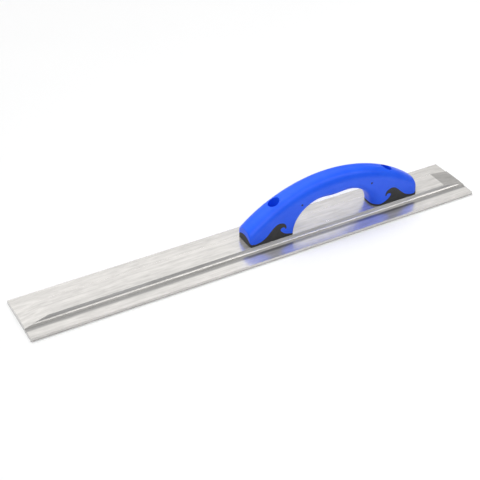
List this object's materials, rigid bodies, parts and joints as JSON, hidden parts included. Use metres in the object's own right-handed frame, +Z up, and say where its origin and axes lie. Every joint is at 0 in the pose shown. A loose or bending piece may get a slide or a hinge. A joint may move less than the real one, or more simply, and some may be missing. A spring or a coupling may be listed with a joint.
{
  "type": "concrete hand float",
  "caption": "Long straight hand float: extruded light-metal blade with a raised centre platform and bevelled ends, and an overmoulded bow handle screwed on.",
  "frame": {"origin": "middle of the flat working face of the blade", "axes": "+X along the blade towards the end nearer the handle, +Y across it, +Z up out of the platform to the handle"},
  "size_m": [0.6096, 0.0794, 0.0743],
  "materials": {
    "blade_metal": "extruded, satin",
    "core_plastic": "fine moulded texture",
    "grip_rubber": "smooth satin",
    "fastener_steel": "zinc plated"
  },
  "bodies": {
    "root": {"blade": "blade_metal", "handle_core": "core_plastic", "handle_grip": "grip_rubber", "screw_left": "fastener_steel", "lock_washer_left": "fastener_steel", "flat_washer_left": "fastener_steel", "screw_right": "fastener_steel", "lock_washer_right": "fastener_steel", "flat_washer_right": "fastener_steel"}
  },
  "joints": []
}
